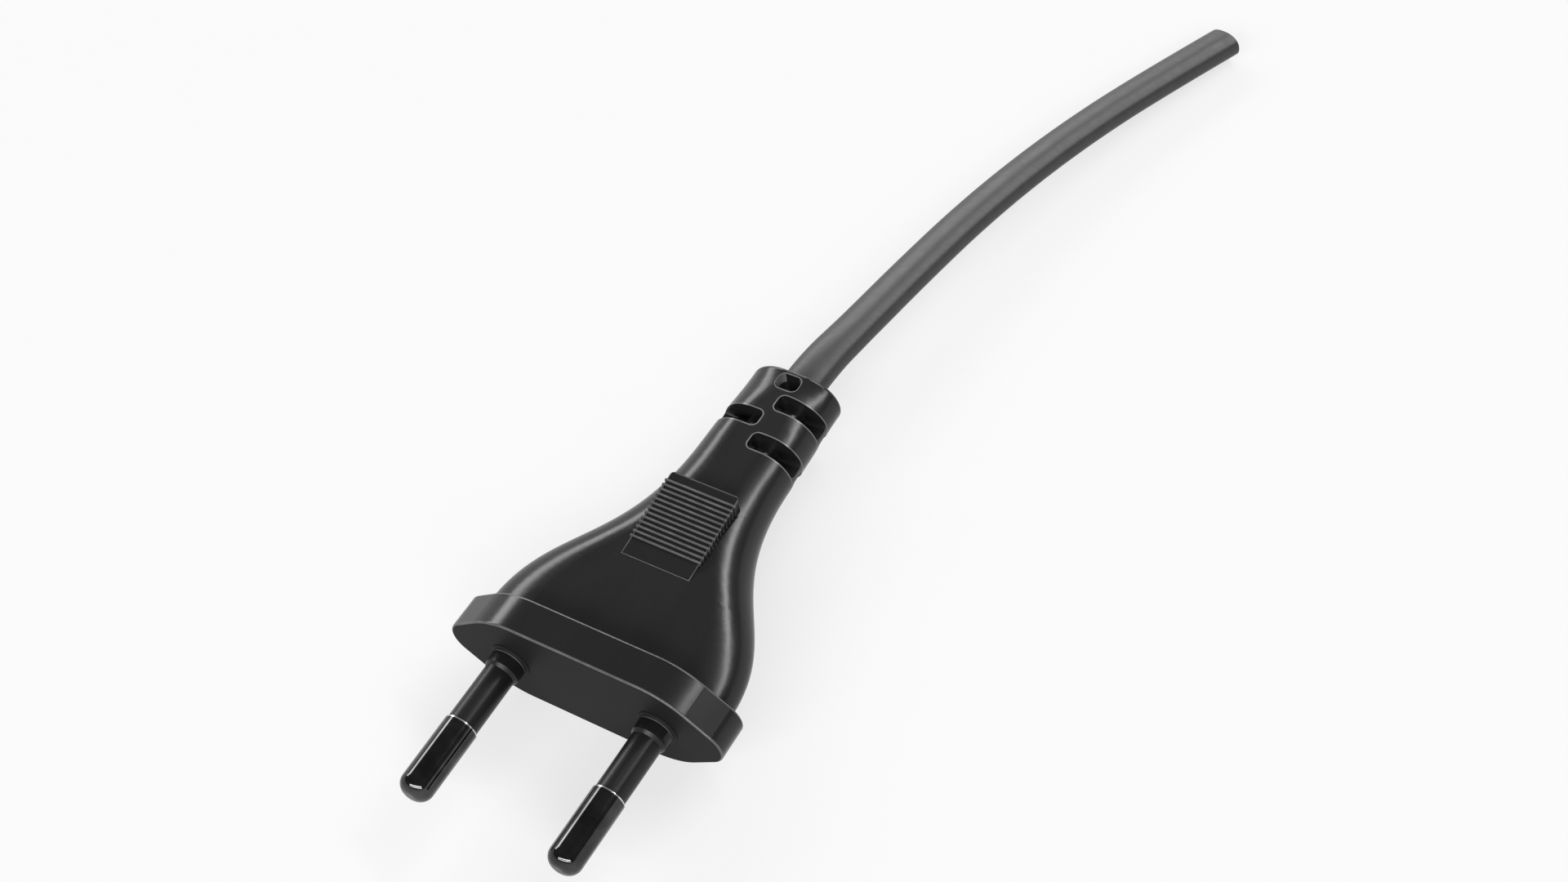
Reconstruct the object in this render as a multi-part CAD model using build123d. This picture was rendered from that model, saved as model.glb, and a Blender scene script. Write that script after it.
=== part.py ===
from build123d import *
import math
import os

# Two-pin mains plug with a flat cord, moulded in one piece round its pins.
# All lengths are millimetres.
# The origin is the middle of the engagement face.
# X runs across the two pins, Y runs from the pins to the cord, Z is up.
# The plug lies on its broad side.

os.makedirs("parts", exist_ok=True)

# Flange with the engagement face
face_w = 35.3
face_h = 13.0
face_side_angle = 37.9
face_tip_r = 3.0
face_corner_r = 8.9
flange_t = 4.5
flange_edge_r = 0.3

# Body behind the flange
body_t = 7.2
body_root_l = 0.6
side_front_l = 6.2
side_rear_l = 4.1
shoulder_w = 31.9
shoulder_pull = 12.1
waist_w = 12.45
waist_y = 34.0
waist_pull = 17.0
sweep_steps = 8
relief_end_w = 11.8
relief_end_y = 47.2
relief_end_r = 0.45

# Grip pad on each broad side
pad_w = 9.0
pad_front_y = 15.6
pad_bend_y = 17.3
pad_rear_y = 27.0
pad_front_rise = 0.05
pad_bend_rise = 0.25
pad_rear_rise = 1.75
pad_corner_r = 0.5
pad_root_z = 1.85
rib_count = 13
rib_first_y = 18.03
rib_last_y = 25.72
rib_w = 0.28
rib_rise = 0.2
rib_side_rise = 0.15
rib_top_r = 0.09

# Slots that make the strain relief bend
slot_w = 2.4
slot_pitch = 3.1
slot_first_y = 36.0
slot_count = 3
slot_inner_x = 0.25
slot_corner_r = 0.75
slot_web_t = 0.9
slot_floor_r = 0.7
slot_overcut = 1.0
pocket_w = 2.8
pocket_l = 2.25
core_wall = 0.45

# Flat cord
cord_w = 5.4
cord_t = 3.4
cord_tail_y = 28.0
core_d = 2.3
core_pitch = 2.4
conductor_d = 1.1

# Pins
pin_base_pitch = 19.2
pin_tip_pitch = 19.0
pin_l = 19.0
pin_d = 4.0
pin_tip_r = 1.5
sleeve_l = 9.5
sleeve_d = 3.65
collar_d = 4.4
collar_l = 1.8
collar_cone_l = 0.4
root_d = 6.0
root_t = 1.0
root_y = 1.2
ring_d = 5.2
ring_t = 0.1
ring_h = 0.5
ring_lip = 0.06
neck_d = 2.9
shank_d = 3.6
barrel_d = 2.6
barrel_l = 5.4
barrel_bore_l = 4.6

# Hard bridge that holds the pins at their pitch
bridge_l = 5.2
bridge_w = 25.0
bridge_t = 4.8
bridge_r = 1.2
bridge_y = root_y + root_t

# Route of the core from the barrel to the cord
core_run_out = 1.8
core_join_y = 25.8


def across(y):
    """Plane square to the plug's length, X to the side and Z up."""
    return Plane(origin=(0, y, 0), x_dir=(1, 0, 0), z_dir=(0, -1, 0))


def rear_extrude(sketch, y, length):
    """Extrudes a cross-section from y towards the cord."""
    return extrude(across(y) * sketch, amount=-length)


def save(node, shape):
    """Writes one node and prints its volume."""
    shape.label = node
    export_step(shape, "parts/" + node + ".step")
    print(node, "volume", round(shape.volume, 2))


# Flange: a flattened hexagon with soft corners
side_tan = math.tan(math.radians(face_side_angle))
side_sin = math.sin(math.radians(face_side_angle))
tip_x = face_w / 2 + face_tip_r * (1 / side_sin - 1)
flat_x = tip_x - face_h / 2 / side_tan
hexagon = Polygon(
    (tip_x, 0),
    (flat_x, face_h / 2),
    (-flat_x, face_h / 2),
    (-tip_x, 0),
    (-flat_x, -face_h / 2),
    (flat_x, -face_h / 2),
    align=None,
)
tips = hexagon.vertices().filter_by(lambda v: abs(v.Y) < 0.01)
hexagon = fillet(tips, face_tip_r)
corners = hexagon.vertices().filter_by(lambda v: abs(abs(v.Y) - face_h / 2) < 0.01)
hexagon = fillet(corners, face_corner_r)
flange = rear_extrude(hexagon, 0, flange_t)
flange_rims = flange.faces().filter_by(Axis.Y).edges()
flange = fillet(flange_rims, flange_edge_r)

# Body: sections with flat broad faces and elliptic sides, along an S-shaped outline
def body_section(y, half_w, side_l):
    """Cross-section at y whose sides round over the length side_l."""
    flat = half_w - side_l
    right = EllipticalCenterArc(
        (flat, 0), side_l, body_t / 2, start_angle=-90, arc_size=180
    )
    left = mirror(right, about=Plane.YZ)
    top = Line((-flat, body_t / 2), (flat, body_t / 2))
    bottom = Line((-flat, -body_t / 2), (flat, -body_t / 2))
    return across(y) * make_face([right, left, top, bottom])


taper = (waist_w - relief_end_w) / 2 / (relief_end_y - waist_y)
sweep_in = Bezier(
    (shoulder_w / 2, flange_t),
    (shoulder_w / 2, flange_t + shoulder_pull),
    (waist_w / 2 + taper * waist_pull, waist_y - waist_pull),
    (waist_w / 2, waist_y),
)
root_y_body = flange_t - body_root_l
sections = [body_section(root_y_body, shoulder_w / 2, side_front_l)]
for i in range(sweep_steps + 1):
    edge = sweep_in @ (i / sweep_steps)
    share = (edge.Y - flange_t) / (waist_y - flange_t)
    side_l = side_front_l + (side_rear_l - side_front_l) * share
    sections.append(body_section(edge.Y, edge.X, side_l))
relief_mid_y = (waist_y + relief_end_y) / 2
relief_mid_w = (waist_w + relief_end_w) / 2
sections.append(body_section(relief_mid_y, relief_mid_w / 2, side_rear_l))
sections.append(body_section(relief_end_y, relief_end_w / 2, side_rear_l))
body = loft(sections)
end_edges = body.faces().sort_by(Axis.Y)[-1].edges()
body = fillet(end_edges, relief_end_r)

# Grip pad: a low ramp that rises to the rear, with fine ribs across it
body_top = body_t / 2
pad_foot = pad_root_z
ramp_slope = (pad_rear_rise - pad_bend_rise) / (pad_rear_y - pad_bend_y)
ramp_side = Polygon(
    (pad_front_y, pad_foot),
    (pad_rear_y, pad_foot),
    (pad_rear_y, body_top + pad_rear_rise),
    (pad_bend_y, body_top + pad_bend_rise),
    (pad_front_y, body_top + pad_front_rise),
    align=None,
)
ramp_plane = Plane(origin=(-pad_w / 2, 0, 0), x_dir=(0, 1, 0), z_dir=(1, 0, 0))
ramp = extrude(ramp_plane * ramp_side, amount=pad_w)
ramp_posts = ramp.edges().filter_by(Axis.Z).group_by(Axis.Y)[-1]
ramp = fillet(ramp_posts, pad_corner_r)
rib_pitch = (rib_last_y - rib_first_y) / (rib_count - 1)
ribs = []
for i in range(rib_count):
    y = rib_first_y + i * rib_pitch
    rise = pad_bend_rise + (y - pad_bend_y) * ramp_slope + rib_rise
    rib_h = body_top + rise - pad_foot
    rib = Box(
        pad_w + 2 * rib_side_rise,
        rib_w,
        rib_h,
        align=(Align.CENTER, Align.CENTER, Align.MIN),
    )
    upper = rib.faces().sort_by(Axis.Z)[-1].edges()
    rib = fillet(upper, rib_top_r)
    ribs.append(Pos(0, y, pad_foot) * rib)
pad = ramp + ribs

# Slots on both broad sides, cut down to a core that wraps the cord
slot_reach = waist_w
core_section = SlotOverall(cord_w + 2 * core_wall, cord_t + 2 * core_wall)
slot_depth = body_t / 2 + slot_overcut
slots = []
for i in range(slot_count):
    y = slot_first_y + i * slot_pitch
    side = 1 if i % 2 == 0 else -1
    cut = Box(
        slot_reach,
        slot_w,
        slot_depth,
        align=(Align.MIN, Align.CENTER, Align.MIN),
    )
    inner_posts = cut.edges().filter_by(Axis.Z).group_by(Axis.X)[0]
    cut = fillet(inner_posts, slot_corner_r)
    floor_edges = cut.faces().sort_by(Axis.Z)[0].edges().filter_by(Axis.X)
    cut = fillet(floor_edges, slot_floor_r)
    cut = Pos(slot_inner_x, y, slot_web_t / 2) * cut
    if side < 0:
        cut = mirror(cut, about=Plane.YZ)
    slots.append(cut)
pocket_y = slot_first_y + slot_count * slot_pitch
pocket = Box(
    pocket_w,
    pocket_l,
    slot_depth,
    align=(Align.CENTER, Align.CENTER, Align.MIN),
)
pocket = fillet(pocket.edges().filter_by(Axis.Z), slot_corner_r)
slots.append(Pos(0, pocket_y, slot_web_t / 2) * pocket)
core_keep = rear_extrude(core_section, cord_tail_y, relief_end_y - cord_tail_y)
upper_cuts = [s - core_keep for s in slots]

# Pins: turned brass, with a blind crimp barrel at the rear
shank_end = bridge_y + bridge_l
barrel_end = shank_end + barrel_l
pin_half = Polyline(
    (0, -pin_l),
    (pin_d / 2, -pin_l),
    (pin_d / 2, -sleeve_l),
    (neck_d / 2, -sleeve_l),
    (neck_d / 2, bridge_y),
    (shank_d / 2, bridge_y),
    (shank_d / 2, shank_end),
    (barrel_d / 2, shank_end),
    (barrel_d / 2, barrel_end),
    (conductor_d / 2, barrel_end),
    (conductor_d / 2, barrel_end - barrel_bore_l),
    (0, barrel_end - barrel_bore_l),
    close=True,
)
pin_profile = make_face(pin_half)
nose = pin_profile.vertices().filter_by(
    lambda v: abs(v.X - pin_d / 2) < 0.01 and abs(v.Y + pin_l) < 0.01
)
pin_profile = fillet(nose, pin_tip_r)
pin = revolve(pin_profile, Axis.Y)

# Insulating sleeve with its collar at the face and its root in the flange
sleeve_half = Polyline(
    (neck_d / 2, -sleeve_l),
    (sleeve_d / 2, -sleeve_l),
    (sleeve_d / 2, -collar_l - collar_cone_l),
    (collar_d / 2, -collar_l),
    (collar_d / 2, root_y),
    (root_d / 2, root_y),
    (root_d / 2, bridge_y),
    (neck_d / 2, bridge_y),
    close=True,
)
sleeve = revolve(make_face(sleeve_half), Axis.Y)

# Moulded ring round the foot of each collar, hollowed up to the collar
lip_r = collar_d / 2 + ring_lip
hollow_x = ring_d / 2 - (ring_d / 2 - lip_r) * math.sin(math.pi / 4)
hollow_y = -ring_h + (ring_h - ring_t) * math.sin(math.pi / 4)
ring_half = [
    Line((neck_d / 2, root_y), (ring_d / 2, root_y)),
    Line((ring_d / 2, root_y), (ring_d / 2, -ring_t)),
    ThreePointArc((ring_d / 2, -ring_t), (hollow_x, hollow_y), (lip_r, -ring_h)),
    Line((lip_r, -ring_h), (neck_d / 2, -ring_h)),
    Line((neck_d / 2, -ring_h), (neck_d / 2, root_y)),
]
ring = revolve(make_face(ring_half), Axis.Y)
ring_right = Pos(pin_base_pitch / 2, 0, 0) * ring
ring_left = Pos(-pin_base_pitch / 2, 0, 0) * ring

# Envelopes that the mould fills round
pin_solid = Pos(0, shank_end, 0) * Rot(-90, 0, 0) * Cylinder(
    barrel_d / 2, barrel_l, align=(Align.CENTER, Align.CENTER, Align.MIN)
)

pin_lean = math.degrees(math.atan((pin_base_pitch - pin_tip_pitch) / 2 / pin_l))
right_place = Pos(pin_base_pitch / 2, 0, 0) * Rot(0, 0, -pin_lean)
left_place = Pos(-pin_base_pitch / 2, 0, 0) * Rot(0, 0, pin_lean)

pin_right = right_place * pin
pin_left = left_place * pin
sleeve_right = right_place * sleeve
sleeve_left = left_place * sleeve
barrel_right = right_place * pin_solid
barrel_left = left_place * pin_solid

# Bridge: a hard bar with a hole for the shank of each pin
bridge = rear_extrude(
    RectangleRounded(bridge_w, bridge_t, bridge_r), bridge_y, bridge_l
)
bridge_solid = bridge
bridge = bridge - pin_right - pin_left - sleeve_right - sleeve_left

# Cores: from each barrel to the cord's tail
def core_route(place, side):
    """Middle line of one core, with its two bends."""
    start = (place * Pos(0, barrel_end, 0)).position
    out = (place * Pos(0, barrel_end + core_run_out, 0)).position
    join = Vector(side * core_pitch / 2, core_join_y, 0)
    end = Vector(side * core_pitch / 2, cord_tail_y, 0)
    runs = [(out - start).length, (join - out).length, (end - join).length]
    turns = [
        (out - start).get_angle(join - out),
        (join - out).get_angle(end - join),
    ]
    radii = []
    for i in range(2):
        half = math.tan(math.radians(turns[i] / 2))
        radii.append(0.8 * min(runs[i], runs[i + 1]) / half)
    return FilletPolyline(start, out, join, end, radius=radii)


def along(route, d):
    """Round bar of diameter d along a route."""
    start_plane = Plane(origin=route @ 0, z_dir=route % 0)
    return sweep(start_plane * Circle(d / 2), path=route)


tail_l = relief_end_y - cord_tail_y
held = []
cores = {}
for name, place, side in (("right", right_place, 1), ("left", left_place, -1)):
    route = core_route(place, side)
    bar = along(route, core_d)
    wire = along(route, conductor_d)
    spot = Pos(side * core_pitch / 2, 0)
    bar = bar + rear_extrude(spot * Circle(core_d / 2), cord_tail_y, tail_l)
    wire = wire + rear_extrude(spot * Circle(conductor_d / 2), cord_tail_y, tail_l)
    crimped = Pos(0, barrel_end - barrel_bore_l, 0) * Rot(-90, 0, 0) * Cylinder(
        conductor_d / 2,
        barrel_bore_l,
        align=(Align.CENTER, Align.CENTER, Align.MIN),
    )
    cores[name] = bar - wire
    held.append(bar)
    save("conductor_" + name, wire + place * crimped)
    save("core_" + name, bar - wire)

# Tail of the cord's sheath, held in the strain relief
cord_section = SlotOverall(cord_w, cord_t)
tail_solid = rear_extrude(cord_section, cord_tail_y, tail_l)
tail = tail_solid - held[0] - held[1]

# Moulded body: flange, body, pads and strain relief in one piece
moulding = flange + body + pad + mirror(pad, about=Plane.XY)
moulding = moulding + ring_right + ring_left
for cut in upper_cuts:
    moulding = moulding - cut
    moulding = moulding - mirror(cut, about=Plane.XY)
moulding = moulding - bridge_solid - sleeve_right - sleeve_left
moulding = moulding - barrel_right - barrel_left - pin_right - pin_left
moulding = moulding - held[0] - held[1] - tail_solid

# Free cord: a plain flat tube along straight runs joined by tangent arcs
cord_points = [
    Vector(0, relief_end_y, 0),
    Vector(0, 51.7, 0),
    Vector(1.0, 59.5, -0.6),
    Vector(2.45, 71, -1.27),
    Vector(4.26, 83, -1.96),
    Vector(6.9, 95, -2.65),
    Vector(10.45, 107, -3.34),
    Vector(14.85, 118.8, -4.01),
    Vector(19.65, 130.4, -4.68),
]
cord_runs = [b - a for a, b in zip(cord_points, cord_points[1:])]
cord_radii = []
for a, b in zip(cord_runs, cord_runs[1:]):
    half_turn = math.radians(a.get_angle(b) / 2)
    cord_radii.append(0.45 * min(a.length, b.length) / math.tan(half_turn))
print("cord radii", [round(r, 1) for r in cord_radii])
cord_route = FilletPolyline(cord_points, radius=cord_radii)
cord = sweep(across(relief_end_y) * cord_section, path=cord_route)
section_area = cord_section.area
cord_length = sum(e.length for e in cord_route.edges())
print("cord length", round(cord_length, 2))
plain_volume = section_area * cord_length
print("cord volume", round(cord.volume, 1), "section times length", round(plain_volume, 1))

save("plug_body", moulding)
save("pin_bridge", bridge)
save("pin_right", pin_right)
save("pin_left", pin_left)
save("pin_sleeve_right", sleeve_right)
save("pin_sleeve_left", sleeve_left)
save("cord_tail", tail)
save("cord", cord)
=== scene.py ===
"""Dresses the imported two-pin plug: finishes for its solids, the flat cord with its cut end, and a plain stage."""

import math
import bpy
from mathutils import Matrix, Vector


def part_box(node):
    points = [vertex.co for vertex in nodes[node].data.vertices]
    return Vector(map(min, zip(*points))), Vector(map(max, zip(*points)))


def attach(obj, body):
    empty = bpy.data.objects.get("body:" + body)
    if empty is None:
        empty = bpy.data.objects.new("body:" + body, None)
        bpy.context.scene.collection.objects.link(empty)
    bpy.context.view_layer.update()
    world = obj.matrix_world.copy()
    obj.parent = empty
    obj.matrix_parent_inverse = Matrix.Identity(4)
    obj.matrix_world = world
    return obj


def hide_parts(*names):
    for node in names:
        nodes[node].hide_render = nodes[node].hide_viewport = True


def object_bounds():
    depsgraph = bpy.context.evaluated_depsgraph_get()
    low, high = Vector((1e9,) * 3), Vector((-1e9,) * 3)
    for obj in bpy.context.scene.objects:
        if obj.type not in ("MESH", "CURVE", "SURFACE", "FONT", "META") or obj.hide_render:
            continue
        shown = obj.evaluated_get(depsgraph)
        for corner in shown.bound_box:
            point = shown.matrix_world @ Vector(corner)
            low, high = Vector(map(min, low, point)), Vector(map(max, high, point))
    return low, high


bl_info = {
    "name": "Two-pin plug dressing",
    "version": (1, 0, 0),
    "blender": (4, 5, 0),
    "location": "3D View > Sidebar > Plug",
    "description": "Finishes the two-pin plug and its flat cord and sets up a plain stage",
    "category": "Object",
}

import bmesh
import bpy
from bpy.props import FloatProperty, FloatVectorProperty, IntProperty, PointerProperty
from mathutils import Matrix, Vector

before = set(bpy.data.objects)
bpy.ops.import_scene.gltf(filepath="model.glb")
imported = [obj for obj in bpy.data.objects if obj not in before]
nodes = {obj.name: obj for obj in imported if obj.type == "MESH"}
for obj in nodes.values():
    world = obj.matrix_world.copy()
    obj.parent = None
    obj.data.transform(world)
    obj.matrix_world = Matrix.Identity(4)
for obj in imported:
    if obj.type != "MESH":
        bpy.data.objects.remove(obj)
cad_low, cad_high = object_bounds()
sleeve_front_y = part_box("pin_sleeve_right")[0].y


# --- Places of the moulding's own edges, which its finish follows

flange_t = 0.0045
body_top = 0.0036
relief_end_y = 0.0472
slot_ys = (0.0360, 0.0391, 0.0422)
slot_w, slot_inner, slot_reach, slot_corner = 0.0024, 0.00025, 0.0100, 0.00075
pocket_y, pocket_w, pocket_l = 0.0453, 0.0028, 0.00225
pad_w, pad_front_y, pad_bend_y, pad_rear_y = 0.0090, 0.0156, 0.0173, 0.0270
pad_level, pad_slope = 0.00385, 0.15464
face_skin = 0.00002


# --- How wide the painted highlight lines along the rims are, and how strongly each plastic bends light

slot_rim, pad_rim = 0.00017, 0.00013
moulding_ior, sleeve_ior, sheath_ior = 1.38, 1.33, 1.53


# --- The view: its place, its turn in degrees and its lens in millimetres

view_place = (0.09894, -0.08802, 0.19206)
view_turn = (39.4822, 5.8861, 30.0327)
view_lens = 49.1


# --- The floor's gap under the plug, and the place that the lamps face

floor_gap = 0.00002
lit_place = (0.0, 0.03, 0.0)


# --- The stage's lamps: azimuth, elevation, width and height in degrees, and brightness

lamps = {
    "rear_window": (22.0, 46.0, 56.0, 5.5, 21.0),
    "left_window": (-56.0, 27.5, 56.0, 13.0, 8.5),
    "front_upper": (163.0, 41.0, 74.0, 5.0, 22.0),
    "front_lower": (163.0, 30.0, 74.0, 3.4, 22.0),
}


# --- Sizes and colours that a user would change


def colour(name, description, default):
    return FloatVectorProperty(
        name=name, description=description, default=default, subtype="COLOR", size=3, min=0.0, max=1.0
    )


def length(name, description, default):
    return FloatProperty(
        name=name, description=description, default=default, unit="LENGTH", subtype="DISTANCE", precision=5
    )


def lean(name, description, default):
    return FloatProperty(name=name, description=description, default=default, unit="ROTATION", subtype="ANGLE")


def share(name, description, default):
    return FloatProperty(name=name, description=description, default=default, min=0.0, max=1.0, subtype="FACTOR")


class PlugFinish(bpy.types.PropertyGroup):
    """Colours and grain of the moulding, the pins and what the moulding holds"""

    moulding: colour("Moulding", "Colour of the moulded body", (0.0095, 0.0095, 0.0099))
    moulding_gloss: share("Moulding roughness", "How matt the moulded body is", 0.23)
    # The rim colour is a painted highlight: pale lines laid along the moulding's edges in place of the light that their
    # rounded rims catch.
    rim: colour("Rim highlights", "Colour of the highlight lines painted along the moulding's edges", (0.15, 0.15, 0.152))
    sleeve: colour("Sleeve", "Colour of the pin sleeves", (0.0080, 0.0080, 0.0085))
    # The pin colour is kept near-black as painted dark reflection, standing in for the dark surroundings that bright
    # plated pins mirror.
    metal: colour("Pin metal", "Colour of the plated pins", (0.058, 0.058, 0.060))
    bridge: colour("Bridge", "Colour of the hard bridge between the pins", (0.72, 0.70, 0.64))
    copper: colour("Copper", "Colour of the stranded wire", (0.78, 0.36, 0.20))
    core_left: colour("Left core", "Colour of the left core's insulation", (0.03, 0.13, 0.46))
    core_right: colour("Right core", "Colour of the right core's insulation", (0.17, 0.065, 0.028))
    grain: length("Grain", "Size of the moulded plastic's grain", 0.00018)


class FlatCord(bpy.types.PropertyGroup):
    """Sizes and colour of the flat two-core cord"""

    width: length("Width", "Width of the flat sheath", 0.0054)
    thickness: length("Thickness", "Thickness of the flat sheath", 0.0034)
    core_width: length("Core width", "Diameter of one insulated core", 0.0023)
    core_pitch: length("Core pitch", "Distance between the two cores", 0.0024)
    wire_width: length("Wire width", "Diameter of one bundle of strands", 0.0011)
    cut_step: length("Cut step", "How far the sheath stands back from its cores at the cut", 0.00012)
    twist: lean("Twist", "How far the flat side leans over", 0.21)
    twist_run: length("Twist run", "How far past the plug the flat side has leaned over in full", 0.014)
    strand_rings: IntProperty(
        name="Strand rings", description="Rings of strands round the middle one", default=2, min=1, max=4
    )
    colour: colour("Sheath", "Colour of the sheath", (0.016, 0.016, 0.0164))
    gloss: share("Sheath roughness", "How matt the sheath is", 0.43)


class PlainStage(bpy.types.PropertyGroup):
    """Floor, lamps and surroundings"""

    floor: colour("Floor", "Colour of the floor", (0.19, 0.19, 0.19))
    glow: share("Floor glow", "Share of the floor's paleness that no shadow darkens", 0.67)
    backdrop_glow: share("Backdrop glow", "Share of the backdrop's paleness that no shadow darkens", 0.86)
    radius: length("Radius", "Distance from the plug to the backdrop", 5.0)
    height: length("Height", "Height of the backdrop", 1.4)
    lamp_level: FloatProperty(name="Lamp level", description="Strength of the lamps", default=1.0, min=0.0)
    surroundings: share("Surroundings", "Strength of the even light all round", 0.25)


# --- Shader maths


class Value:
    """A number in a shader, with arithmetic that adds Math nodes."""

    def __init__(self, shader, socket):
        self.shader = shader
        self.socket = socket

    def math(self, operation, *others):
        inputs = dict(enumerate((self, *others)))
        return self.shader.add("ShaderNodeMath", {"operation": operation}, inputs).out(0)

    def __add__(self, other):
        return self.math("ADD", other)

    def __sub__(self, other):
        return self.math("SUBTRACT", other)

    def __mul__(self, other):
        return self.math("MULTIPLY", other)

    def __pow__(self, other):
        return self.math("POWER", other)

    def __gt__(self, other):
        return self.math("GREATER_THAN", other)

    def __lt__(self, other):
        return self.math("LESS_THAN", other)

    def ramp(self, low, high, start=0.0, end=1.0):
        """start below low, end above high, and an even run between."""
        inputs = {"Value": self, "From Min": low, "From Max": high, "To Min": start, "To Max": end}
        return self.shader.add("ShaderNodeMapRange", {"clamp": True}, inputs).out(0)


class Added:
    """A node that was added to a shader."""

    def __init__(self, shader, node):
        self.shader = shader
        self.node = node

    def out(self, key):
        return Value(self.shader, self.node.outputs[key])


class Shader:
    """A material's nodes."""

    def __init__(self, name):
        self.material = bpy.data.materials.new(name)
        self.material.use_nodes = True
        self.tree = self.material.node_tree
        self.tree.nodes.clear()

    def add(self, kind, settings=None, inputs=None):
        """Adds a node, with its settings first, then the values or links of its sockets."""
        node = self.tree.nodes.new(kind)
        for key, value in (settings or {}).items():
            setattr(node, key, value)
        for key, value in (inputs or {}).items():
            if isinstance(value, Value):
                self.tree.links.new(value.socket, node.inputs[key])
            elif value is not None:
                node.inputs[key].default_value = value
        return Added(self, node)

    def place(self):
        return self.add("ShaderNodeTexCoord").out("Object")

    def along(self, vector):
        """The three parts of a place as numbers."""
        parts = self.add("ShaderNodeSeparateXYZ", inputs={"Vector": vector})
        return [parts.out(i) for i in range(3)]

    def stretched(self, vector, scale, turn=(0.0, 0.0, 0.0)):
        return self.add("ShaderNodeMapping", inputs={"Vector": vector, "Scale": scale, "Rotation": turn}).out(0)

    def noise(self, vector, scale, detail=2.0, roughness=0.5):
        return self.add(
            "ShaderNodeTexNoise", inputs={"Vector": vector, "Scale": scale, "Detail": detail, "Roughness": roughness}
        ).out(0)

    def blend(self, factor, first, second):
        """Colour that goes from first to second."""
        return self.add(
            "ShaderNodeMix", {"data_type": "RGBA"}, {"Factor": factor, 6: self.tone(first), 7: self.tone(second)}
        ).out(2)

    @staticmethod
    def tone(value):
        return value if isinstance(value, Value) else (*value, 1.0)

    def bump(self, height, distance, strength=1.0, under=None):
        inputs = {"Height": height, "Distance": distance, "Strength": strength, "Normal": under}
        return self.add("ShaderNodeBump", inputs=inputs).out(0)

    def principled(self, **inputs):
        """A Principled shader, with constant numbers set on its own sockets."""
        named = {key.replace("_", " "): value for key, value in inputs.items()}
        return self.add("ShaderNodeBsdfPrincipled", inputs=named).out(0)

    def finished(self, shader):
        self.add("ShaderNodeOutputMaterial", inputs={"Surface": shader})
        return self.material

    def surface(self, **inputs):
        return self.finished(self.principled(**inputs))


def scaled(tone, factor):
    return tuple(min(1.0, c * factor) for c in tone)


# --- Finishes


def satin_plastic(s, place, tone, roughness, grain):
    """Colour, roughness and normal of satin plastic: fine grain, faint flow marks and specks of dust."""
    fine = s.noise(place, 1 / grain, 3.0, 0.6)
    flow = s.noise(s.stretched(place, (260.0, 90.0, 260.0)), 1.0, 4.0, 0.55)
    specks = s.noise(place, 2600.0, 2.0, 0.5).ramp(0.70, 0.78)
    base = s.blend(flow, scaled(tone, 0.9), scaled(tone, 1.12))
    dusty = s.blend(specks * 0.2, base, scaled(tone, 2.2))
    rough = fine.ramp(0.3, 0.7, roughness - 0.02, roughness + 0.02) + flow.ramp(0.35, 0.65, -0.01, 0.015)
    normal = s.bump(fine, 0.0000012, 0.4, s.bump(flow, 0.00001, 0.2))
    return dusty, rough, normal


def plain_plastic(name, tone, roughness, grain):
    """Satin plastic with nothing else on it."""
    s = Shader(name)
    base, rough, normal = satin_plastic(s, s.place(), tone, roughness, grain)
    return s.surface(Base_Color=base, Roughness=rough, IOR=moulding_ior, Normal=normal)


def from_block(x, y, middle, half, corner):
    """Distance in plan from a block with round corners, below 0 inside it."""
    across = (x - middle[0]).math("ABSOLUTE") - (half[0] - corner)
    along = (y - middle[1]).math("ABSOLUTE") - (half[1] - corner)
    outside = (across.math("MAXIMUM", 0.0) ** 2.0 + along.math("MAXIMUM", 0.0) ** 2.0).math("SQRT")
    return outside + across.math("MAXIMUM", along).math("MINIMUM", 0.0) - corner


def between(value, low, high):
    return (value > low) * (value < high)


def slot_rims(x, y, width):
    """The rims of the strain relief's slots and of its pocket, where highlight lines are painted."""
    pocket = from_block(x, y, (0.0, pocket_y), (pocket_w / 2, pocket_l / 2), slot_corner)
    nearest = pocket
    for i, slot_y in enumerate(slot_ys):
        side = 1 if i % 2 == 0 else -1
        middle = (side * (slot_inner + slot_reach / 2), slot_y)
        slot = from_block(x, y, middle, (slot_reach / 2, slot_w / 2), slot_corner)
        nearest = nearest.math("MINIMUM", slot)
    return between(nearest, 0.00001, width)


def pad_rims(x, y, height, width):
    """The tops of the grip's ribs, and the pad's own edges, where highlight lines are painted."""
    above = height - (y * pad_slope + (pad_level - pad_bend_y * pad_slope))
    ribs = (above > 0.00012) * (height > body_top + 0.00002) * between(y, pad_front_y, pad_rear_y)
    middle = (0.0, (pad_front_y + pad_rear_y) / 2)
    edge = from_block(x, y, middle, (pad_w / 2, (pad_rear_y - pad_front_y) / 2), 0.0002)
    border = between(edge, -width, -0.00001) + between(edge, 0.00001, 0.00014)
    return ribs.math("MAXIMUM", border * (height > body_top + 0.00002))


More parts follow.
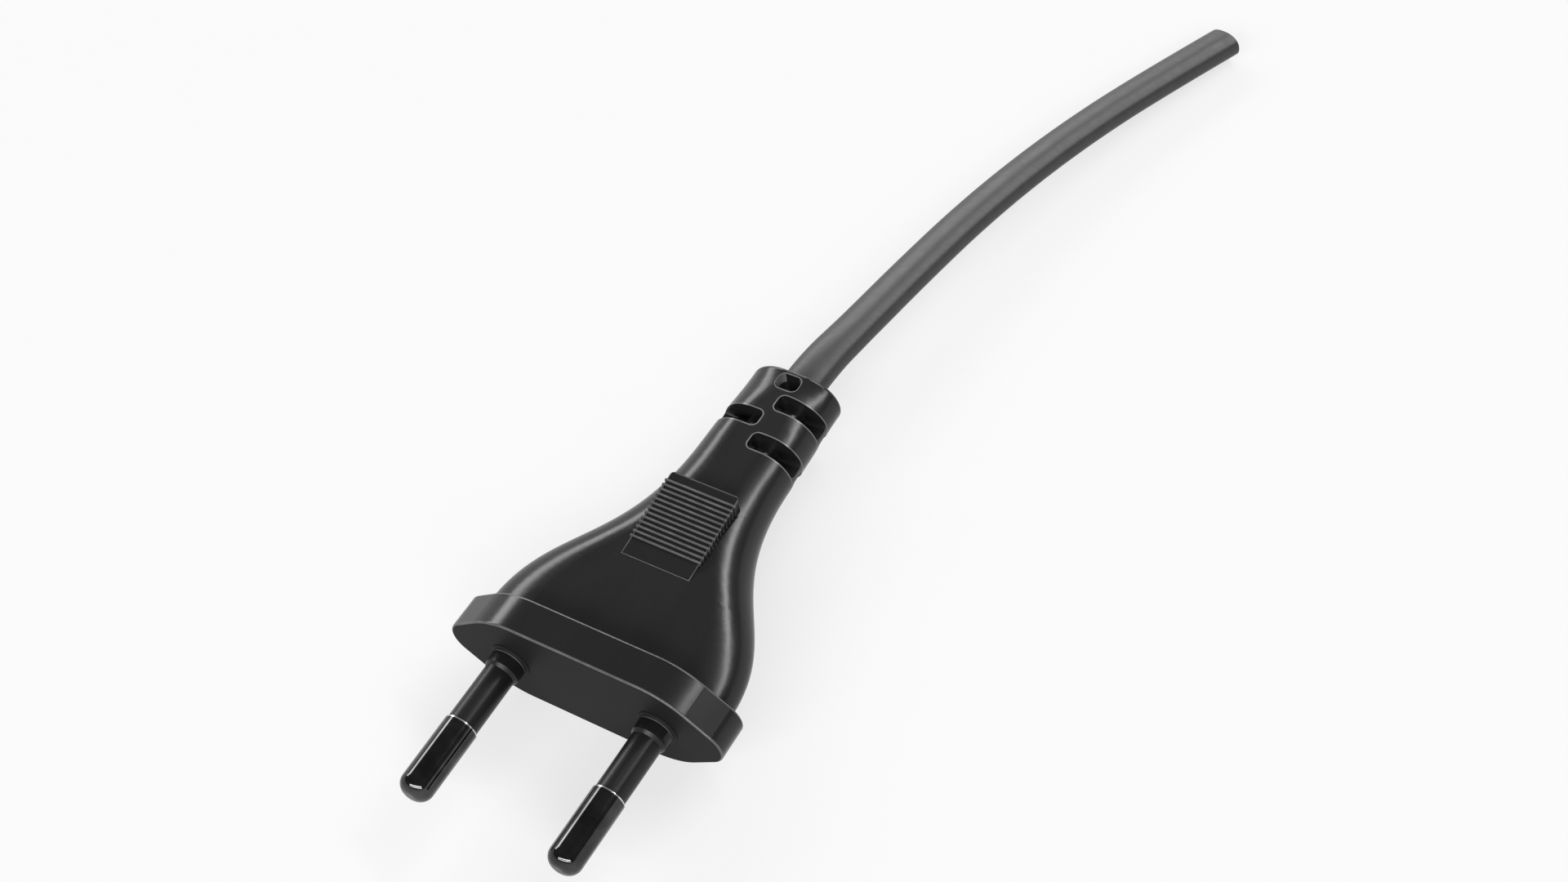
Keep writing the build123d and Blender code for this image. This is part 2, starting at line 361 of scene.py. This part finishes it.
def body_plastic(name, tone, roughness, grain, rim_highlight_tone):
    """The moulding: satin plastic with pale highlight lines painted along its rims, which are also smoother, and a matt
    engagement face.
    """
    s = Shader(name)
    place = s.place()
    x, y, z = s.along(place)
    height = z.math("ABSOLUTE")
    base, rough, normal = satin_plastic(s, place, tone, roughness, grain)
    slots = slot_rims(x, y, slot_rim) * (y > 0.030)
    pad = pad_rims(x, y, height, pad_rim)
    flange = (
        between(y, 0.00004, 0.00026)
        + between(y, flange_t - 0.00027, flange_t - 0.00003)
        + between(y, -0.00049, -0.00038)
    )
    end = between(y, relief_end_y - 0.00032, relief_end_y - 0.00012)
    # A noise that breaks up the painted highlight lines along the rims.
    highlight_breaks = s.noise(place, 700.0, 2.0, 0.5).ramp(0.3, 0.7, 0.6, 1.0)
    # Where pale highlight lines are painted: the rims of the slots, pad, flange and the strain relief's end.
    rims = slots.math("MAXIMUM", pad * 0.55).math("MAXIMUM", flange * 0.7).math("MAXIMUM", end * 0.5) * highlight_breaks
    handled = height.ramp(0.0037, 0.0055)
    # Painted highlight: the rims take the pale rim colour in place of the light that their rounded edges would catch.
    toned = s.blend(rims, base, rim_highlight_tone)
    satin_rough = rough - handled * 0.03 - rims * 0.04
    satin = s.principled(Base_Color=toned, Roughness=satin_rough, IOR=moulding_ior, Normal=normal)
    # The matt engagement face carries the same painted highlight lines along its rims.
    face = s.blend(rims, scaled(tone, 1.2), rim_highlight_tone)
    matt = s.principled(
        Base_Color=face, Roughness=0.55, IOR=moulding_ior, Specular_IOR_Level=0.12, Normal=normal
    )
    return s.finished(s.add("ShaderNodeMixShader", inputs={0: y < face_skin, 1: satin, 2: matt}).out(0))


def sleeve_plastic(name, tone, grain):
    """Harder, glossier plastic of the pin sleeves, lightly scuffed along the pin."""
    s = Shader(name)
    place = s.place()
    fine = s.noise(place, 1 / grain, 2.0, 0.5)
    rubs = s.noise(s.stretched(place, (3200.0, 160.0, 3200.0)), 1.0, 2.0, 0.55).ramp(0.55, 0.72)
    base = s.blend(rubs * 0.5, tone, scaled(tone, 1.5))
    rough = fine.ramp(0.3, 0.7, 0.30, 0.34) + rubs * 0.04
    normal = s.bump(fine, 0.0000006, 0.2)
    return s.surface(Base_Color=base, Roughness=rough, IOR=sleeve_ior, Normal=normal)


def plated_metal(name, tone, shoulder_y):
    """Bright plating whose colour is kept near-black as painted dark reflection, in place of the dark surroundings it
    mirrors; with turning rings, fine marks along the pin and a bright rim where the plating is rubbed through.
    """
    s = Shader(name)
    place = s.place()
    rings = s.noise(s.stretched(place, (60.0, 16000.0, 60.0)), 1.0, 2.0, 0.5)
    marks = s.noise(s.stretched(place, (4200.0, 120.0, 4200.0)), 1.0, 2.0, 0.6).ramp(0.60, 0.74)
    cloud = s.noise(place, 420.0, 3.0, 0.5)
    toned = s.blend(cloud.ramp(0.35, 0.7), scaled(tone, 0.75), scaled(tone, 1.3))
    marked = s.blend(marks * 0.25, toned, scaled(tone, 3.0))
    rim = s.along(place)[1].ramp(shoulder_y - 0.00017, shoulder_y - 0.0001)
    base = s.blend(rim * cloud.ramp(0.3, 0.5, 0.6, 1.0), marked, (0.72, 0.71, 0.70))
    rough = cloud.ramp(0.3, 0.7, 0.05, 0.08) + rings * 0.02 + marks * 0.05 + rim * 0.15
    normal = s.bump(rings, 0.0000004, 0.2)
    return s.surface(Base_Color=base, Roughness=rough, Metallic=1.0, Normal=normal)


def hard_plastic(name, tone, grain):
    """Pale filled plastic of the inner bridge, mottled by its filler."""
    s = Shader(name)
    place = s.place()
    mottle = s.noise(place, 900.0, 4.0, 0.6)
    fibres = s.noise(s.stretched(place, (700.0, 6000.0, 6000.0)), 1.0, 2.0, 0.5).ramp(0.58, 0.7)
    base = s.blend(fibres * 0.4, s.blend(mottle, scaled(tone, 0.88), tone), scaled(tone, 1.12))
    normal = s.bump(s.noise(place, 1 / grain, 2.0), 0.000005, 0.5)
    return s.surface(Base_Color=base, Roughness=mottle.ramp(0.3, 0.7, 0.42, 0.55), Normal=normal)


def core_plastic(name, tone):
    """Extruded insulation with faint draw lines along the core."""
    s = Shader(name)
    place = s.place()
    lines = s.noise(s.stretched(place, (7000.0, 240.0, 7000.0)), 1.0, 2.0, 0.5)
    base = s.blend(lines, scaled(tone, 0.8), scaled(tone, 1.2))
    return s.surface(Base_Color=base, Roughness=lines.ramp(0.3, 0.7, 0.30, 0.42), Normal=s.bump(lines, 0.000006, 0.5))


def strand_metal(name, tone):
    """Drawn copper strands, twisted and slightly tarnished."""
    s = Shader(name)
    place = s.place()
    twist = s.noise(s.stretched(place, (5200.0, 1500.0, 5200.0), (0.0, 0.0, 0.35)), 1.0, 1.0, 0.4)
    tarnish = s.noise(place, 1300.0, 3.0, 0.6)
    base = s.blend(tarnish.ramp(0.45, 0.7), tone, scaled(tone, 0.45))
    rough = tarnish.ramp(0.3, 0.7, 0.18, 0.36)
    return s.surface(Base_Color=base, Roughness=rough, Metallic=1.0, Normal=s.bump(twist, 0.00004, 0.6))


def cord_sheath(name, tone, roughness):
    """Soft extruded sheath: draw lines and soft waves along the cord, read from the cord's own UV map."""
    s = Shader(name)
    run = s.add("ShaderNodeUVMap", {"uv_map": "run"}).out(0)
    lines = s.noise(s.stretched(run, (26.0, 210.0, 1.0)), 1.0, 3.0, 0.55)
    bands = s.noise(s.stretched(run, (9.0, 46.0, 1.0)), 1.0, 2.0, 0.5)
    fine = s.noise(s.place(), 5200.0, 2.0, 0.5)
    base = s.blend(bands.ramp(0.3, 0.7), scaled(tone, 0.85), scaled(tone, 1.18))
    dusty = s.blend(fine.ramp(0.66, 0.78) * 0.3, base, scaled(tone, 1.9))
    rough = lines.ramp(0.3, 0.7, roughness - 0.04, roughness + 0.05)
    normal = s.bump(fine, 0.000003, 0.5, s.bump(lines, 0.00001, 0.3))
    return s.surface(Base_Color=dusty, Roughness=rough, IOR=sheath_ior, Normal=normal)


def floor_paper(name, tone, glow):
    """Matt pale paper, whose paleness is partly its own where it is looked at, so its shadow stays soft."""
    s = Shader(name)
    fibre = s.noise(s.place(), 90.0, 4.0, 0.6)
    base = s.blend(fibre, scaled(tone, 0.995), scaled(tone, 1.005))
    path = s.add("ShaderNodeLightPath")
    seen = path.out("Is Camera Ray") + path.out("Is Glossy Ray") + path.out("Is Transmission Ray")
    pale = s.blend(seen.math("MINIMUM", 1.0), (0.0, 0.0, 0.0), (glow, glow, glow))
    return s.surface(Base_Color=base, Roughness=0.9, Specular_IOR_Level=0.0, Emission_Color=pale, Emission_Strength=1.0)


def dress(names, material):
    for name in names:
        slots = nodes[name].data.materials
        if not slots:
            slots.append(material)
        for i in range(len(slots)):
            slots[i] = material


# --- The cord's line and section

section_power = 2.3
route = [
    (0.0, 0.0472, 0.0),
    (0.0, 0.0517, 0.0),
    (0.0010, 0.0595, -0.0006),
    (0.00245, 0.0710, -0.00127),
    (0.00426, 0.0830, -0.00196),
    (0.0069, 0.0950, -0.00265),
    (0.01045, 0.1070, -0.00334),
    (0.01485, 0.1188, -0.00401),
    (0.01965, 0.1304, -0.00468),
]


def smooth_line(points, name):
    """Points along one smooth curve that has the given control points."""
    curve = bpy.data.curves.new(name, "CURVE")
    curve.dimensions = "3D"
    curve.resolution_u = 14
    spline = curve.splines.new("NURBS")
    spline.points.add(len(points) - 1)
    for point, place in zip(spline.points, points):
        point.co = (*place, 1.0)
    spline.order_u = 3
    spline.use_endpoint_u = True
    holder = bpy.data.objects.new(name, curve)
    bpy.context.scene.collection.objects.link(holder)
    bpy.context.view_layer.update()
    line = bpy.data.meshes.new_from_object(holder.evaluated_get(bpy.context.evaluated_depsgraph_get()))
    places = [v.co.copy() for v in line.vertices]
    bpy.data.objects.remove(holder)
    bpy.data.curves.remove(curve)
    bpy.data.meshes.remove(line)
    return places


def frames_along(places):
    """A matrix at each place: X across the cord, Y up, Z along it."""
    made = []
    for i, place in enumerate(places):
        ahead = (places[min(i + 1, len(places) - 1)] - places[max(i - 1, 0)]).normalized()
        if i == 0:
            ahead = Vector((0.0, 1.0, 0.0))
        side = ahead.cross(Vector((0.0, 0.0, 1.0))).normalized()
        up = side.cross(ahead)
        made.append(Matrix.Translation(place) @ Matrix((side, up, ahead)).transposed().to_4x4())
    return made


def twisted(matrices, turn, run):
    """Turns the section about the cord's line: not at all at the plug, and by the whole turn from a little way out."""
    made = []
    for matrix in matrices:
        out = min(1.0, (matrix.translation - matrices[0].translation).length / run)
        made.append(matrix @ Matrix.Rotation(turn * out * out * (3.0 - 2.0 * out), 4, "Z"))
    return made


def new_piece(name, bm, materials, body="root"):
    mesh = bpy.data.meshes.new(name)
    bm.to_mesh(mesh)
    bm.free()
    for material in materials:
        mesh.materials.append(material)
    piece = bpy.data.objects.new(name, mesh)
    bpy.context.scene.collection.objects.link(piece)
    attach(piece, body)
    return piece


def smooth(piece, angle):
    for face in piece.data.polygons:
        face.use_smooth = True
    piece.data.set_sharp_from_angle(angle=math.radians(angle))


def flat_ring(bm, matrix, width, thickness, steps=48):
    """A ring of the cord's section: a circle drawn out flat, with fuller corners than an ellipse."""
    made = bmesh.ops.create_circle(bm, segments=steps, radius=1.0)["verts"]
    for vertex in made:
        across, up = (math.copysign(abs(c) ** (2 / section_power), c) for c in vertex.co.xy)
        vertex.co.xy = across * width / 2, up * thickness / 2
    bmesh.ops.transform(bm, matrix=matrix, verts=made)
    return made


def ring_edges(ring):
    inside = set(ring)
    return list({e for v in ring for e in v.link_edges if set(e.verts) <= inside})


def tube(bm, matrices, sections):
    """Bridges one ring at each matrix into a closed tube; sections gives each ring's width and thickness."""
    rings = [flat_ring(bm, m, w, t) for m, (w, t) in zip(matrices, sections)]
    loops = [ring_edges(r) for r in rings]
    for first, second in zip(loops, loops[1:]):
        bmesh.ops.bridge_loops(bm, edges=first + second)
    for end in (loops[0], loops[-1]):
        bmesh.ops.contextual_create(bm, geom=end)
    bmesh.ops.recalc_face_normals(bm, faces=bm.faces)
    return rings


def run_map(bm, matrices, rings):
    """A UV map whose U runs round the section and whose V runs along the cord."""
    layer = bm.loops.layers.uv.new("run")
    far = [0.0]
    for a, b in zip(matrices, matrices[1:]):
        far.append(far[-1] + (b.translation - a.translation).length)
    place = {}
    for matrix, ring, along in zip(matrices, rings, far):
        back = matrix.inverted()
        for vertex in ring:
            flat = back @ vertex.co
            place[vertex] = (math.atan2(flat.y, flat.x) / math.tau + 0.5, along)
    for face in bm.faces:
        turns = [place[l.vert][0] for l in face.loops]
        wrap = max(turns) - min(turns) > 0.5 and len(face.verts) == 4
        for l in face.loops:
            u, v = place[l.vert]
            l[layer].uv = ((u + 1.0 if wrap and u < 0.5 else u) * 0.4, v * 10.0)


# --- Solids that the photo shows a little slimmer or straighter

pin_foot = 0.0096
collar_inner, collar_outer, collar_share = 0.0021, 0.0027, 0.945
root_y = 0.0012
relief_y = 0.0340
relief_half, relief_end_half = 0.006225, 0.0059


def slim_collar(place):
    """Draws the ring and the collar at the foot of each pin in."""
    if place.y > root_y - 0.00001:
        return place
    foot = math.copysign(pin_foot, place.x)
    away = math.hypot(place.x - foot, place.z)
    if not collar_inner < away < collar_outer:
        return place
    return Vector((foot + (place.x - foot) * collar_share, place.y, place.z * collar_share))


def relief_shares(mesh, steps=26):
    """How much wider the straight strain relief is than the solid, at even steps along it."""
    last = relief_end_y - 0.0005
    shares = [(relief_y, 1.0)]
    bm = bmesh.new()
    bm.from_mesh(mesh)
    for i in range(1, steps + 1):
        y = relief_y + (last - relief_y) * i / steps
        near = [f for f in bm.faces if min(v.co.y for v in f.verts) <= y <= max(v.co.y for v in f.verts)]
        near += list({e for f in near for e in f.edges}) + list({v for f in near for v in f.verts})
        cut = bmesh.ops.bisect_plane(bm, geom=near, plane_co=(0.0, y, 0.0), plane_no=(0.0, 1.0, 0.0))["geom_cut"]
        half = max(abs(v.co.x) for v in cut if isinstance(v, bmesh.types.BMVert))
        straight = relief_half + (relief_end_half - relief_half) * (y - relief_y) / (relief_end_y - relief_y)
        shares.append((y, straight / half))
    bm.free()
    return shares + [(relief_end_y, 1.0)]


def straight_relief(place, shares):
    """Moves a place of the strain relief sideways, to where its straight taper has it."""
    for (low, first), (high, second) in zip(shares, shares[1:]):
        if low < place.y <= high:
            share = first + (second - first) * (place.y - low) / (high - low)
            return Vector((place.x * share, place.y, place.z))
    return place


def turned(look, place, move):
    """A normal at a place, turned as the move turns the surface there."""
    here, step = move(place), 0.00002
    columns = [(move(place + Vector(axis) * step) - here) / step for axis in ((1, 0, 0), (0, 1, 0), (0, 0, 1))]
    stretch = Matrix(columns).transposed()
    if abs(stretch.determinant()) < 0.2:
        return look
    return (stretch.inverted().transposed() @ look).normalized()


def reshaped(name, node, move, material):
    """A merged copy of a solid with its places moved, which stands for it and keeps its corners' normals."""

    def key(place):
        return tuple(round(c, 7) for c in place)

    source = nodes[node].data
    looks = {}
    for face in source.polygons:
        corners = [key(source.vertices[i].co) for i in face.vertices]
        for corner, loop in zip(corners, face.loop_indices):
            looks[frozenset(corners), corner] = source.corner_normals[loop].vector.copy()
    bm = bmesh.new()
    bm.from_mesh(source)
    bmesh.ops.remove_doubles(bm, verts=bm.verts, dist=0.0000001)
    piece = new_piece(name, bm, [material])
    mesh = piece.data
    kept = []
    for face in mesh.polygons:
        face.use_smooth = True
        places = [mesh.vertices[i].co.copy() for i in face.vertices]
        corners = [key(p) for p in places]
        for place, corner in zip(places, corners):
            look = looks.get((frozenset(corners), corner), face.normal.copy())
            moved = (move(place) - place).length > 0.0
            kept.append(turned(look, place, move) if moved else look)
    for vertex in mesh.vertices:
        vertex.co = move(vertex.co.copy())
    mesh.normals_split_custom_set(kept)
    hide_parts(node)
    return piece


# --- Operators


class PLUG_OT_camera(bpy.types.Operator):
    """Places the camera at the view that the plug is shown from"""

    bl_idname = "plug.camera"
    bl_label = "Camera"

    def execute(self, context):
        data = bpy.data.cameras.new("view")
        data.sensor_width = 36.0
        data.lens = view_lens
        data.clip_start = 0.01
        data.clip_end = 20.0
        camera = bpy.data.objects.new("view", data)
        context.scene.collection.objects.link(camera)
        camera.location = view_place
        camera.rotation_euler = [math.radians(a) for a in view_turn]
        context.scene.camera = camera
        return {"FINISHED"}


class PLUG_OT_cord(bpy.types.Operator):
    """Builds the flat cord along its line, with its two cores and their strands at the cut end"""

    bl_idname = "plug.cord"
    bl_label = "Flat cord"

    def execute(self, context):
        size, finish = context.scene.plug_cord, context.scene.plug_finish
        places = smooth_line(route, "cord_line")
        matrices = twisted(frames_along(places), size.twist, size.twist_run)
        step = matrices[-1] @ Matrix.Translation((0.0, 0.0, -size.cut_step * 2))
        sheath = matrices[:-1] + [step]
        bm = bmesh.new()
        rings = tube(bm, sheath, [(size.width, size.thickness)] * len(sheath))
        run_map(bm, sheath, rings)
        sheath_look = cord_sheath("cord_sheath", size.colour, size.gloss)
        cord = new_piece("flat_cord", bm, [sheath_look])
        smooth(cord, 40)
        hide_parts("cord")
        for side, sign, tone in (("left", -1, finish.core_left), ("right", 1, finish.core_right)):
            self.core_end(side, sign, tone, size, matrices[-1])
            self.strands(side, sign, finish.copper, size, matrices[-1])
        total = sum((b - a).length for a, b in zip(places, places[1:]))
        return {"FINISHED"}

    def core_end(self, side, sign, tone, size, end):
        """One core's insulation at the cut, a short tube with softened rims."""
        bm = bmesh.new()
        outer, inner, depth = size.core_width / 2, size.wire_width / 2, size.cut_step * 8
        for radius in (outer, inner):
            bmesh.ops.create_circle(bm, segments=48, radius=radius)
        bmesh.ops.bridge_loops(bm, edges=bm.edges[:])
        grown = bmesh.ops.extrude_face_region(bm, geom=bm.faces[:])["geom"]
        lifted = [g for g in grown if isinstance(g, bmesh.types.BMVert)]
        bmesh.ops.translate(bm, vec=(0.0, 0.0, depth), verts=lifted)
        top = [e for e in bm.edges if all(v.co.z > depth / 2 for v in e.verts)]
        rims = [e for e in top if abs(e.verts[0].co.length - e.verts[1].co.length) < 1e-7]
        bmesh.ops.bevel(bm, geom=rims, offset=0.00005, segments=2, profile=0.5, affect="EDGES", material=-1)
        bmesh.ops.recalc_face_normals(bm, faces=bm.faces)
        seat = end @ Matrix.Translation((sign * size.core_pitch / 2, 0.0, -depth - size.cut_step))
        bmesh.ops.transform(bm, matrix=seat, verts=bm.verts)
        piece = new_piece("cut_core_" + side, bm, [core_plastic("cut_core_" + side, tone)])
        smooth(piece, 35)
        return piece

    def strands(self, side, sign, tone, size, end):
        """The cut strands of one wire: one in the middle and rings round it, each end softened."""
        bm = bmesh.new()
        across = size.wire_width / (2 * size.strand_rings + 1)
        depth = size.cut_step * 8
        spots = [(0.0, 0.0)]
        for ring in range(1, size.strand_rings + 1):
            for k in range(6 * ring):
                turn = math.tau * k / (6 * ring) + 0.3 * ring
                spots.append((ring * across * math.cos(turn), ring * across * math.sin(turn)))
        radius = across * 0.49
        for x, y in spots:
            spot = Matrix.Translation((x, y, depth / 2))
            made = bmesh.ops.create_cone(
                bm, cap_ends=True, segments=12, radius1=radius, radius2=radius, depth=depth, matrix=spot
            )["verts"]
            rim = [e for v in made for e in v.link_edges if all(w.co.z > depth * 0.9 for w in e.verts)]
            bmesh.ops.bevel(
                bm, geom=list(set(rim)), offset=across * 0.12, segments=1, profile=0.5, affect="EDGES", material=-1
            )
        seat = end @ Matrix.Translation((sign * size.core_pitch / 2, 0.0, -depth))
        bmesh.ops.transform(bm, matrix=seat, verts=bm.verts)
        bmesh.ops.recalc_face_normals(bm, faces=bm.faces)
        piece = new_piece("cut_strands_" + side, bm, [strand_metal("cut_strands_" + side, tone)])
        smooth(piece, 35)
        return piece


class PLUG_OT_moulding(bpy.types.Operator):
    """Gives the moulded body its satin plastic"""

    bl_idname = "plug.moulding"
    bl_label = "Moulded body"

    def execute(self, context):
        finish = context.scene.plug_finish
        plastic = body_plastic("moulding", finish.moulding, finish.moulding_gloss, finish.grain, finish.rim)
        dress(["plug_body"], plastic)
        shares = relief_shares(nodes["plug_body"].data)

        def move(place):
            return straight_relief(slim_collar(place), shares)

        reshaped("moulded_shell", "plug_body", move, plastic)
        return {"FINISHED"}


class PLUG_OT_pins(bpy.types.Operator):
    """Gives the pins their plating and the sleeves their glossier plastic"""

    bl_idname = "plug.pins"
    bl_label = "Pins and sleeves"

    def execute(self, context):
        finish = context.scene.plug_finish
        dress(["pin_left", "pin_right"], plated_metal("pin_plating", finish.metal, sleeve_front_y))
        plastic = sleeve_plastic("sleeve", finish.sleeve, finish.grain)
        for side in ("left", "right"):
            dress(["pin_sleeve_" + side], plastic)
            reshaped("slim_sleeve_" + side, "pin_sleeve_" + side, slim_collar, plastic)
        return {"FINISHED"}


class PLUG_OT_inside(bpy.types.Operator):
    """Finishes what the moulding holds: bridge, cores, wires and the cord's tail"""

    bl_idname = "plug.inside"
    bl_label = "Inner parts"

    def execute(self, context):
        finish, size = context.scene.plug_finish, context.scene.plug_cord
        dress(["pin_bridge"], hard_plastic("bridge", finish.bridge, finish.grain))
        dress(["core_left"], core_plastic("core_left", finish.core_left))
        dress(["core_right"], core_plastic("core_right", finish.core_right))
        dress(["conductor_left", "conductor_right"], strand_metal("strands", finish.copper))
        dress(["cord_tail"], plain_plastic("cord_tail", size.colour, size.gloss, finish.grain))
        return {"FINISHED"}


class PLUG_OT_stage(bpy.types.Operator):
    """Lays a plain pale floor and sets soft lamps round the plug"""

    bl_idname = "plug.stage"
    bl_label = "Stage"

    def execute(self, context):
        stage = context.scene.plug_stage
        bm = bmesh.new()
        bmesh.ops.create_circle(bm, cap_ends=True, segments=96, radius=stage.radius)
        grown = bmesh.ops.extrude_edge_only(bm, edges=bm.edges[:])["geom"]
        wall_top = [g for g in grown if isinstance(g, bmesh.types.BMVert)]
        bmesh.ops.translate(bm, vec=(0.0, 0.0, stage.height), verts=wall_top)
        for face in grown:
            if isinstance(face, bmesh.types.BMFace):
                face.material_index = 1
        bmesh.ops.translate(bm, vec=(0.0, 0.0, cad_low.z - floor_gap), verts=bm.verts)
        mesh = bpy.data.meshes.new("floor")
        bm.to_mesh(mesh)
        bm.free()
        mesh.materials.append(floor_paper("floor", stage.floor, stage.glow))
        mesh.materials.append(floor_paper("backdrop", scaled(stage.floor, 0.3), stage.backdrop_glow))
        floor = bpy.data.objects.new("floor", mesh)
        context.scene.collection.objects.link(floor)
        for name, (azimuth, elevation, wide, tall, brightness) in lamps.items():
            self.lamp(name, azimuth, elevation, wide, tall, brightness * stage.lamp_level)
        self.surroundings(context, stage.surroundings)
        context.scene.view_settings.view_transform = "Standard"
        return {"FINISHED"}

    def lamp(self, name, azimuth, elevation, wide, tall, brightness, distance=3.0):
        """A far rectangular lamp that faces the plug: azimuth from +Y towards +X, and its size in degrees."""
        a, e = math.radians(azimuth), math.radians(elevation)
        away = Vector((math.sin(a) * math.cos(e), math.cos(a) * math.cos(e), math.sin(e)))
        data = bpy.data.lights.new(name, "AREA")
        data.shape = "RECTANGLE"
        data.size, data.size_y = [2 * distance * math.tan(math.radians(angle / 2)) for angle in (wide, tall)]
        data.energy = brightness * math.pi * data.size * data.size_y
        lamp = bpy.data.objects.new(name, data)
        bpy.context.scene.collection.objects.link(lamp)
        lamp.location = Vector(lit_place) + away * distance
        lamp.rotation_euler = away.to_track_quat("Z", "Y").to_euler()

    def surroundings(self, context, strength):
        world = bpy.data.worlds.new("surroundings")
        world.use_nodes = True
        tree = world.node_tree
        tree.nodes.clear()
        back = tree.nodes.new("ShaderNodeBackground")
        out = tree.nodes.new("ShaderNodeOutputWorld")
        back.inputs["Strength"].default_value = strength
        tree.links.new(back.outputs[0], out.inputs["Surface"])
        context.scene.world = world


class PLUG_PT_panel(bpy.types.Panel):
    """Lists the plug's steps in the sidebar"""

    bl_idname = "PLUG_PT_panel"
    bl_label = "Two-pin plug"
    bl_space_type = "VIEW_3D"
    bl_region_type = "UI"
    bl_category = "Plug"

    def draw(self, context):
        for step in STEPS:
            self.layout.operator(step.bl_idname)
        for group in (context.scene.plug_finish, context.scene.plug_cord, context.scene.plug_stage):
            box = self.layout.box()
            for key in group.bl_rna.properties.keys():
                if key not in ("rna_type", "name"):
                    box.prop(group, key)


STEPS = (PLUG_OT_camera, PLUG_OT_cord, PLUG_OT_moulding, PLUG_OT_pins, PLUG_OT_inside, PLUG_OT_stage)
GROUPS = {"plug_finish": PlugFinish, "plug_cord": FlatCord, "plug_stage": PlainStage}


def register():
    for kind in (*GROUPS.values(), *STEPS, PLUG_PT_panel):
        bpy.utils.register_class(kind)
    for name, kind in GROUPS.items():
        setattr(bpy.types.Scene, name, PointerProperty(type=kind))


def unregister():
    for name in GROUPS:
        delattr(bpy.types.Scene, name)
    for kind in reversed((*GROUPS.values(), *STEPS, PLUG_PT_panel)):
        bpy.utils.unregister_class(kind)


def main():
    register()
    for step in STEPS:
        group, _, name = step.bl_idname.partition(".")
        getattr(getattr(bpy.ops, group), name)()


if __name__ == "__main__":
    main()
